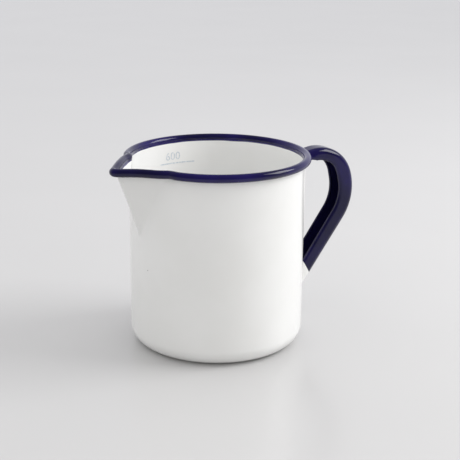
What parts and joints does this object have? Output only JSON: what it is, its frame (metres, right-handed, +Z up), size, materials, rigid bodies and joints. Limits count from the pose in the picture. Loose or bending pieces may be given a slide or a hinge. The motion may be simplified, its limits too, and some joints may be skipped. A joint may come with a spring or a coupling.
{
  "type": "enamelled milk jug",
  "caption": "White enamelled steel milk jug with a pressed pouring spout, rolled blue rim, blue channel handle and a printed scale inside.",
  "frame": {"origin": "middle of the face that the jug rests on, on the cup's axis", "axes": "+Z up along the cup's axis, +X towards the handle, +Y to the left seen from the handle"},
  "size_m": [0.1493, 0.102, 0.1055],
  "materials": {
    "cup_steel": "bare low-carbon sheet, hidden under the enamel",
    "white_enamel": "fired glossy enamel",
    "blue_enamel": "fired glossy navy enamel",
    "strap_steel": "bare low-carbon strip, hidden under the enamel",
    "weld": "weld metal",
    "print": "thin fired-on ceramic ink"
  },
  "bodies": {
    "root": {"cup_steel": "cup_steel", "white_enamel_outside": "white_enamel", "white_enamel_inside": "white_enamel", "rim_enamel_blue": "blue_enamel", "handle_steel": "strap_steel", "handle_enamel_blue": "blue_enamel", "handle_foot_enamel_white": "white_enamel", "upper_weld_nuggets": "weld", "lower_weld_nuggets": "weld", "graduation_lines": "print"}
  },
  "joints": []
}
